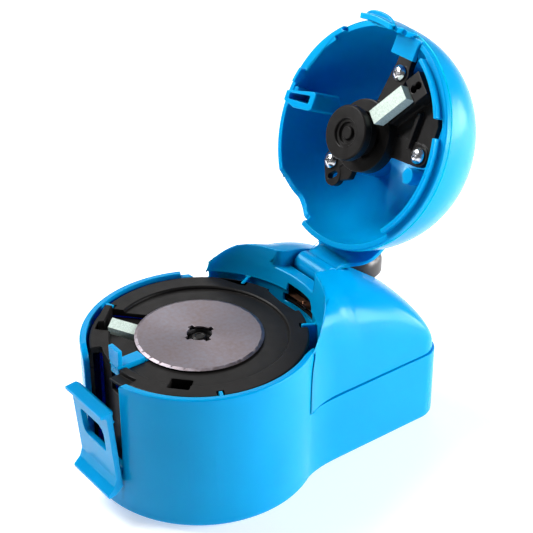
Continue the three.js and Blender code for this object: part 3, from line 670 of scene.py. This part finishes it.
def make_platform():
    """The deck with its round recess, what hangs under it, and its openings."""
    bottom, recess = DECK_Z - 2.6, DECK_Z - 1.1
    into = bottom + 0.2  # what hangs from the deck reaches a little into it
    through = (45, 60)
    deck = turned([(0, bottom), (DECK_R, bottom), (DECK_R, DECK_Z - 0.4), (DECK_R - 0.4, DECK_Z),
                   (RECESS_R + 0.5, DECK_Z), (RECESS_R, DECK_Z - 0.5), (RECESS_R, recess),
                   (RECESS_R - 0.3, recess), (0, recess)])
    posts = [rod(3.6, (3.9, into), polar(POST_R, a)) for a in POST_ANGLES]
    lugs = [box(x, (-28.6, -24.4), (46.6, into)) for x in ((-6.3, -3.9), (2.3, 4.7))]
    skirt = band((32.4, 33.9), (248, 290), (8, into))
    liner = band((37.0, 38.4), (220, 247), (12, into))
    well = radial_box((25.5, 34.7), 4.9, (45, into), SQUARE_HOLE_ANGLE)
    spindle_collar = rod(12.8, (43, into), sides=96)
    bush_seat = rod(7, (30, 44), sides=64)
    deck = join(deck, *posts, *lugs, skirt, liner, well, spindle_collar, bush_seat)
    rear_cut = slab([(-10.5, 42), (-8.4, 35.9), (0, 34.9), (8.6, 35.3), (11.2, 42)], through)
    spindle_bores = [rod(10.6, through, sides=96), rod(4.8, (28, 41.5)), rod(2.4, (28, 60))]
    tongue_room = [band((34, 45), (246.5, 287.5), (51.4, 60)), band((34, 45), (246.5, 273), through)]
    lever_slot = box((LEVER_X - 2.9, LEVER_X + 2.9), (-35.2, -12), (42, 60))
    square_hole = turn(slab(rounded([(26.5, -3.75), (33.5, -3.75), (33.5, 3.75), (26.5, 3.75)], 0.5),
                            (46.2, 60)), SQUARE_HOLE_ANGLE)
    stone_slot = stone_slab([(18.6, -9.9), (33.6, -10.3), (36.3, -10.6), (36.3, 3.3), (32.1, 3.3),
                             (21.7, 6.6), (18.6, 7.5)], through)
    deck = cut(
        deck, rear_cut, *spindle_bores, *tongue_room, lever_slot, square_hole, stone_slot,
        cross_rod(0.95, (-6.1, 4.5), LEVER_PIVOT.yz),
        *[radial_box((34.9, 45), 1.3, (40, 60), a) for a in RIB_ANGLES],
        *[rod(1.4, (3, 14), polar(POST_R, a), 24) for a in POST_ANGLES],
    )
    deck = soften(deck, 0.2, quarter=(-26.1, -13.3, 0.7, 13.9, 26.7))
    place(deck, "work_platform_deck", "housing", BLACK, "black_plastic", "work_platform")


def make_stones():
    """The lower stone, whose top slopes up and outwards, and the holder that it lies in."""
    holder = cut(
        join(stone_slab([(18.6, -11), (36.2, -10.9), (36.2, 4), (33, 4.6), (22, 8), (18.6, 8)], (45.6, 49.6)),
             stone_slab(rounded([(33.4, -10, 0.3), (35.9, -10.1, 1.2), (36.2, -5, 3), (35.9, 1.1, 0.8),
                                 (33.4, 0.5, 0.3)], 1), (49, 54.8)),
             stone_slab([(20, -4.7), (32.6, -4.7), (32.6, -3.4), (20, -3.4)], (49, 50.6))),
        stone_slab([(19.4, -3.4), (31.9, -3.4), (31.9, 3.4), (19.4, 3.4)], (48.3, 60)),
    )
    place(soften(holder, 0.35, 3), "lower_stone_carrier", "housing", BLACK, "black_plastic",
          "lower_stone_holder")
    stone = side_slab([(20, 48.6), (31.6, 48.6), (31.6, 54.2), (20, 51.5)], (-STONE_HALF, STONE_HALF))
    place(soften(turn(stone, STONE_ANGLE - 90), 0.12), "lower_abrasive_stone", "housing", STONE, "stone",
          "lower_stone")


def make_lever():
    """The finger in front of the blade, with an upright tip."""
    half = 2.5
    across = (LEVER_X - half, LEVER_X + half)
    lever = join(
        box(across, (-34, -23.3), (49.6, DECK_Z + 0.6)),
        box(across, (-24, -14.2), (49.6, 51.8)),
        box(across, (-34.2, -32.5), (DECK_Z, 56)),
        box((LEVER_X - 3, LEVER_X + 3), (-34.2, -32.5), (DECK_Z + 1.2, 60)),
        cross_rod(2, across, LEVER_PIVOT.yz),
    )
    lever = cut(lever, cross_rod(1, (-6, 6), LEVER_PIVOT.yz))
    place(soften(lever, 0.3), "blade_lift_finger", "lever", BLUE, "blue_plastic", "blade_lift_lever")


make_platform()
make_stones()
make_lever()

# ---- blade and its seat -------------------------------------------------------------------------------

BLADE_R = 22.5


def make_blade():
    """The blade: a flat disc with a bevelled edge and four notches around its centre hole."""
    under = DECK_Z - 0.8
    profile = [(0, under), (22.0, under), (BLADE_R, under + 0.4), (21.4, DECK_Z), (0, DECK_Z)]
    hole = []
    for i in range(4):
        middle = 90 * i
        hole += arc((0, 0), (4.4, 4.4), middle + 14, middle + 76, 10)
        hole += [polar(5.7, middle + 80), polar(5.7, middle + 100)]
    blade = cut(turned(profile, 240), slab(hole, (50, 55)))
    place(soften(blade, 0.05, 1), "round_steel_blade", "blade", BLADE, "blade_steel", "round_blade")


def make_hub():
    """The seat that carries the blade, with a low round nose in the blade's hole."""
    hub = cut(
        turned([(0, 46), (10, 46), (10, 51.1), (9.8, 51.3), (6, 51.3), (5.8, 50.4), (2.8, 50.4), (2.7, 51.6),
                (2.2, 52.0), (1.6, 52.1), (1.4, 51.8), (0, 51.8)], 96),
        ring(8.4, 4.3, (48.2, 52)), rod(2.15, (45, 51)),
    )
    place(soften(hub, 0.15), "blade_seat_hub", "spindle", BLACK, "black_plastic", "drive_hub")


make_blade()
make_hub()

# ---- latch --------------------------------------------------------------------------------------------


def make_latch():
    """The clip: a plate with a hooked top and a flared foot, on an arm that swings about its pin."""
    plate = side_slab(rounded([
        (-41, 14, 0.3), (-41, 41, 0.6), (-39.6, 43.4, 0.4), (-39.6, 44.6, 0.3), (-41, 46, 0.8),
        (-45.4, 46, 0.45), (-45.4, 44.9, 0.45), (-43.4, 44.1, 0.8), (-43.2, 43, 0.6), (-43.2, 18, 2.5),
        (-44.4, 15, 2.5), (-47.2, 12.8, 0.6), (-47.2, 11.3, 0.6), (-44.2, 11.6, 2),
    ], 0.4, 5), (-10.7, 12.0))
    window = front_slab(rounded([(-6.3, 27.8, 4), (7.8, 27.8, 1.2), (7.8, 38.0, 4), (-6.3, 38.0, 1.2)], 1, 8),
                        (-50, -38))
    y, z = LATCH_PIVOT.yz
    arm = box((-8, 8), (-42, y), (z - 1.2, z + 1.3))
    latch = join(plate, arm, cross_rod(2.2, (-8, 8), (y, z)))
    latch = cut(latch, window, box((10.2, 13), (-40.8, -38), (42, 46.5)), cross_rod(1, (-9, 9), (y, z)))
    place(soften(latch, 0.3), "front_latch_clip", "latch", BLUE, "blue_plastic", "latch_clip",
          pivot=LATCH_PIVOT, turned_by=LATCH_OUT)


make_latch()

# ---- lid ----------------------------------------------------------------------------------------------

OPENED = {"pivot": HINGE, "turned_by": -LID_OPEN}  # the lid's pieces are shaped closed and rest open
UPPER_STONE_ANGLE = -52.3
LID_SCREWS = [(4, -25), (-13, 14), (25, -2.3)]
LOOP_Z = 53.3


def dome(inset):
    """The lid's profile from its rim to its top, as (radius, height) points."""
    r, rise = LID_R - inset, LID_RISE - inset
    steps = 40
    points = []
    for i in range(steps + 1):
        a = math.pi / 2 * i / steps
        radius = 0 if i == steps else r * math.cos(a) ** (2 / LID_POWER)
        points.append((radius, LID_RIM + rise * math.sin(a) ** (2 / LID_POWER)))
    return points


def within_dome(obj):
    """Keeps what lies inside the lid, ending halfway through its wall."""
    return meet(obj, turned([(0, LID_RIM), *dome(0.6)]))


# (y, z, half width) of the neck's middle, from the hinge barrel over the crest of the hump into the dome
NECK = [(51.5, 61.2, 7.6), (48.7, 62, 7.85), (46.8, 64, 8.1), (45.4, 66.5, 9), (43.4, 68.4, 12.2),
        (40, 69.9, 15.2), (34, 71.4, 17.4)]

# (angle, height) along the top of the arched cut in the lid's rim, where the cover's horn stands
EAR = [(143, 55.4), (139, 57.6), (136, 59), (130, 61), (125, 62.9), (119, 62.6), (113, 61.2), (110, 61.4),
       (107, 58.4), (106, 55.8)]


def smooth_path(points, steps=5):
    """A path through points of any dimension, with more points between them."""
    ends = [points[0], *points, points[-1]]
    out = []
    for a, b, c, d in zip(ends, ends[1:], ends[2:], ends[3:]):
        for i in range(steps):
            t = i / steps
            out.append(tuple(0.5 * (2 * q + (r - p) * t + (2 * p - 5 * q + 4 * r - s) * t ** 2
                                    + (3 * q - p - 3 * r + s) * t ** 3) for p, q, r, s in zip(a, b, c, d)))
    return [*out, tuple(points[-1])]


def make_neck():
    """The strap from the hinge barrel to the dome, of even thickness along its path."""
    half_thick = 0.9
    path = smooth_path(NECK)
    sections = []
    for i, (y, z, w) in enumerate(path):
        before, after = path[max(0, i - 1)], path[min(len(path) - 1, i + 1)]
        along = Vector((after[0] - before[0], after[1] - before[1])).normalized()
        ny, nz = -along.y * half_thick, along.x * half_thick
        under, over = (y - ny, z - nz), (y + ny, z + nz)
        sections.append([(-w, *under), (w, *under), (w, *over), (-w, *over)])
    return loft(sections)


def make_ear():
    """What the arched cut takes out of the lid's wall."""
    sections = []
    for a, top in smooth_path(EAR, 3):
        sections.append([(*polar(r, a), z) for r, z in ((36, 50), (44, 50), (44, top), (36, top))])
    return loft(sections)


def make_lid():
    """The dome with its neck and hinge barrel, and inside it bosses, post, loop, tab, lips and tongue."""
    outer = dome(0)
    shell = turned([(0, LID_RIM), (LID_R - 0.6, LID_RIM), (LID_R - 0.15, LID_RIM + 0.2), *outer[1:]])
    inner = dome(WALL)
    hollow = turned([(0, LID_RIM - 1), (inner[0][0], LID_RIM - 1), *inner])
    shell = cut(join(shell, make_neck(), cross_rod(4, (-HINGE_HALF, HINGE_HALF), HINGE.yz, 64)), hollow)
    bosses = [within_dome(rod(3.4, (65, 95), at)) for at in LID_SCREWS]
    post = within_dome(cut(rod(2.9, (58.6, 95), (25.9, 5)), box((22, 25), (0, 9), (56, 59.8))))
    loop = join(
        slab(rounded([(-38.1, -3, 0.5), (-24, -7, 1.2), (-22.8, -6, 1), (-22.8, -0.6, 2.2), (-24.5, 0.4, 1.5),
                      (-32, 1.8, 1), (-38.1, 0.8, 0.5)], 1), (LOOP_Z, 66)),
        box((-39.8, -36), (-5, 0.5), (56.8, 62)),
    )
    tab = box((2.5, 13.5), (-38.9, -31.2), (LID_RIM - 1, LID_RIM + 1))
    lips = [band((36.9, 38.3), span, (DECK_Z + 0.7, 57)) for span in ((-62, -28), (-18, 42), (190, 199))]
    roots = [band((36.9, 39.6), span, (LID_RIM, 58)) for span in ((-62, -28), (-18, 42), (190, 226))]
    steps = ((-102.6, -81.5, 46.8), (-81.5, -79, 49.5), (-79, -76.5, 52.5))
    tongue = [band((39.3, 41.3), (start, end), (bottom, 58)) for start, end, bottom in steps]
    lip = slab(arc((-1.3, -40.6), (6.8, 2.5), 0, 352.5, 47), (48.7, 50))
    shell = join(shell, *bosses, post, loop, tab, *lips, *roots)
    shell = cut(
        shell,
        box((-24.6, -9), (-50, -30.9), (50, 58.6)),
        slab(rounded([(-36, -2.6), (-25.4, -5), (-25.4, -1.9), (-36, -0.4)], 0.8), (50, 62)),
        cross_rod(1.75, (-10, 10), HINGE.yz),
        *[rod(1.5, (60, 74), at, 24) for at in LID_SCREWS],
    )
    groove = ring(43, LID_R - 0.3, (LID_RIM + 2.1, LID_RIM + 2.5), sides=FINE)
    shell = cut(join(cut(shell, groove), *tongue, lip), make_ear())
    place(soften(shell, 0.3), "lid_dome", "lid", BLUE, "blue_plastic", "lid_shell", **OPENED)


def make_bracket():
    """The bracket that carries the presser and the upper stone, with an arm to each lid screw."""
    z = (62, 64.7)
    arms = [capsule((0, 0), at, 4, z) for at in LID_SCREWS]
    web = rounded([(0, 0, 0), (15, -25), (24, -23.5), (28.5, -14), (29, -3), (10, 4, 0)], 2)
    bracket = join(
        rod(13, (58.6, 63.5), sides=120), rod(5.4, (62.5, 73)), *arms,
        capsule((0, 0), polar(33, UPPER_STONE_ANGLE), 4.2, z),
        radial_box((27, 33.4), 4.6, (56.2, 63), UPPER_STONE_ANGLE),
        radial_box((13, 27.4), 3.8, (58.6, 63), UPPER_STONE_ANGLE),
        slab(web, (62.4, 64.7)),
        side_slab([(-16, 60.4), (-3, 60.4), (-3, 64), (-16, 64)], (19.4, 20.8)),
        capsule((-13, 14), (-10.2, 18.6), 3.9, z),
        slab(rounded([(-15, 16), (-11, 21.5), (-2, 17), (0, 4), (-8, 4)], 1.5), (62.2, 64.7)),
        capsule((4, -25), (4, -30.5), 3.4, z),
    )
    bracket = cut(
        bracket, rod(8.4, (57, 62.2), sides=96), rod(2.9, (60, 75)),
        capsule((-11.2, 19.4), (-9.2, 17.6), 1, (60, 70)),
        *[rod(1.3, (50, 60), polar(r, UPPER_STONE_ANGLE), 32) for r in (28.9, 31.2)],
        *[rod(1.7, (60, 70), at, 24) for at in LID_SCREWS],
    )
    place(soften(bracket, 0.3), "presser_bracket", "lid", BLACK, "black_plastic", "lid_bracket",
          **OPENED)
    stone = radial_box((10.4, 26.6), 2.7, (DECK_Z + 0.5, 58.3), UPPER_STONE_ANGLE)
    place(soften(stone, 0.12), "upper_abrasive_stone", "lid", STONE, "stone", "upper_stone",
          **OPENED)


def make_presser():
    """The round hub that presses on the blade. Its centre and a ring around it lie back from its face."""
    face = 50.2
    hub = turned([
        (0, face + 0.8), (2.1, face + 0.8), (2.4, face + 1.1), (2.6, face + 1.9), (3.6, face + 1.9),
        (3.8, face + 1.2), (3.9, face + 0.9), (4.8, face + 0.9), (5.0, face + 0.2), (5.3, face), (9.3, face),
        (9.74, face + 0.4), (9.74, 53.2), (9.4, 53.6), (7.8, 54.2), (7.4, 54.8), (7.4, 58.6), (2.75, 58.6),
        (2.75, 53.1), (0, 53.1),
    ], 128)
    place(soften(hub, 0.08, 1), "presser_wheel", "presser_spinner", BLACK, "black_plastic", "presser_hub",
          **OPENED)


def make_lid_screw(number, at):
    """A pan-head screw with a cross recess, its head facing down. Each recess stands at its own angle."""
    low, reach, r = 60.1, 73, 2.9
    head = turned([
        (0, low), (1.4, low + 0.05), (2.2, low + 0.35), (r - 0.1, low + 1.0), (r, low + 1.4), (r, low + 1.6),
        (1.2, low + 1.6), (1.2, reach - 0.8), (0.3, reach), (0, reach),
    ], 48, at)
    x, y = at
    angle = 37.0 + 11 * x
    recess = [turn(box((-1.55, 1.55), (-0.33, 0.33), (low - 1, low + 0.95)), angle + a) for a in (0, 90)]
    screw = cut(head, *[shift(r, x, y, 0) for r in recess])
    place(soften(screw, 0.06, 1), f"lid_cross_screw_{number}", "lid", SCREW, "screw_steel",
          f"lid_screw_{number}", **OPENED)


make_lid()
make_bracket()
make_presser()
for number, at in enumerate(LID_SCREWS, 1):
    make_lid_screw(number, at)

# ---- start button and interlock -----------------------------------------------------------------------


def make_interlock():
    """A hollow switch body behind the wall's slot, and its two contact leaves, each with a small rivet."""
    body = cut(box((-6.3, 13.2), (38, 46), (47.6, 56.2)), lid_space(2.5),
               rod(CONCAVE_R + 2.5, (40, 60), sides=FINE), box((-5.2, 12.2), (38, 45), (48.6, 55.2)))
    place(soften(body, 0.2), "interlock_switch_body", "housing", BLACK, "black_plastic", "interlock_switch")
    for number, (x0, x1, y, z) in enumerate(((-5.6, 7.4, 41.6, 51.3), (0.4, 8.6, 42.3, 49.8)), 1):
        leaf = join(box((x0, x1), (y, y + 2.6), (z, z + 0.3)),
                    rod(0.55, (z - 0.7, z + 0.9), (4.6, y + 0.7), 20))
        place(soften(leaf, 0.06, 1), f"interlock_leaf_{number}", "housing", BRASS, "brass",
              f"contact_leaf_{number}")


def make_button():
    """A round cap with a domed top, on a short stem."""
    r, shoulder, rise, steps = BUTTON_R, 57.6, 6.0, 24
    profile = [(0, 53.2), (r - 0.6, 53.2), (r, 54), (r, shoulder)]
    for i in range(1, steps + 1):
        a = math.pi / 2 * i / steps
        radius = r * math.cos(a) ** 0.8 if i < steps else 0
        profile.append((radius, shoulder + rise * math.sin(a) ** 0.9))
    button = join(turned(profile, 96, (0, BUTTON_Y)), rod(3, (48.6, 54), (0, BUTTON_Y)))
    place(soften(button, 0.1, 1), "start_button_cap", "button", BUTTON, "button_plastic", "start_button")


make_button()
make_interlock()

# ---- carried-over CAD nodes ---------------------------------------------------------------------------

SLOT_MATERIAL = {
    "blue_plastic": BLUE, "black_plastic": BLACK, "button_plastic": BUTTON, "stone": STONE,
    "blade_steel": BLADE, "machined_steel": STEEL, "screw_steel": SCREW, "brass": BRASS, "magnet": MAGNET,
    "rubber": RUBBER, "board": BOARD,
}
for entry in frame["record"]["subparts"]:
    node = frame["nodes"][entry["node"]]
    node.data.materials.clear()
    node.data.materials.append(SLOT_MATERIAL[entry["material_slot"]])

# ---- floor, light and camera --------------------------------------------------------------------------


def make_floor():
    """A pale floor, just under the feet."""
    far = 4000
    floor = solid([(-far, -far, 0), (far, -far, 0), (far, far, 0), (-far, far, 0)], [(0, 1, 2, 3)])
    floor.data.transform(Matrix.Diagonal((0.001, 0.001, 0.001, 1)) @ Matrix.Translation((0, 0, -0.4)))
    floor.name = floor.data.name = "floor"
    n = Nodes("pale_floor")
    n.link(n.ramp(n.noise(3, 2), [(0.3, (0.86, 0.865, 0.87)), (0.7, (0.88, 0.88, 0.88))]), "Base Color")
    n.set(Roughness=0.6, Emission_Color=(1, 1, 1, 1), Emission_Strength=0.45)
    floor.data.materials.append(n.material)


def aimed_light(name, kind, location, target, energy):
    data = bpy.data.lights.new(name, kind)
    data.energy = energy
    light = bpy.data.objects.new(name, data)
    bpy.context.scene.collection.objects.link(light)
    light.location = location
    light.rotation_euler = (Vector(target) - Vector(location)).to_track_quat("-Z", "Y").to_euler()
    return data


def area_light(name, location, target, size, energy):
    data = aimed_light(name, "AREA", location, target, energy)
    data.shape, data.size, data.size_y = "RECTANGLE", size[0], size[1]


def lid_spot(location, target, energy):
    """A narrow light that reaches into the open lid."""
    data = aimed_light("lid_spot", "SPOT", location, target, energy)
    data.spot_size, data.spot_blend, data.shadow_soft_size = math.radians(9), 0.6, 0.06


def make_camera():
    """A camera at the front right, looking down on the open tool."""
    azimuth, elevation, distance = math.radians(52.79), math.radians(30.78), 525.15
    target = Vector((-1.27, 30.0, 68.31))
    away = Vector((math.sin(azimuth) * math.cos(elevation), -math.cos(azimuth) * math.cos(elevation),
                   math.sin(elevation)))
    eye = target + away * distance
    data = bpy.data.cameras.new("camera")
    data.sensor_width, data.lens, data.clip_start = 36.0, 101.21, 0.01
    camera = bpy.data.objects.new("camera", data)
    bpy.context.scene.collection.objects.link(camera)
    camera.location = eye * 0.001 + Vector((SPINDLE.x, SPINDLE.y, 0))
    camera.rotation_euler = (-away).to_track_quat("-Z", "Y").to_euler()
    bpy.context.scene.camera = camera


def make_world():
    world = bpy.data.worlds.new("studio")
    bpy.context.scene.world = world
    world.use_nodes = True
    background = world.node_tree.nodes["Background"]
    background.inputs["Color"].default_value = (0.95, 0.97, 1.0, 1)
    background.inputs["Strength"].default_value = 0.1


make_floor()
make_world()
area_light("right_softbox", (0.66, 0.5, 0.24), (0, 0.02, 0.06), (0.4, 0.36), 9.0)
area_light("rear_right_softbox", (0.3, 0.72, 0.12), (0, 0.05, 0.09), (0.42, 0.18), 2.8)
area_light("key_softbox", (-0.46, -0.3, 0.68), (0, 0.03, 0.06), (0.45, 0.45), 9.0)
area_light("back_glow", (-0.66, 0.5, 0.5), (0, 0, 0.05), (0.5, 0.4), 0.9)
lid_spot((-0.45, -0.52, 0.5), (0.01, 0.085, 0.13), 22.0)
bpy.context.scene.view_settings.view_transform = "Standard"
make_camera()
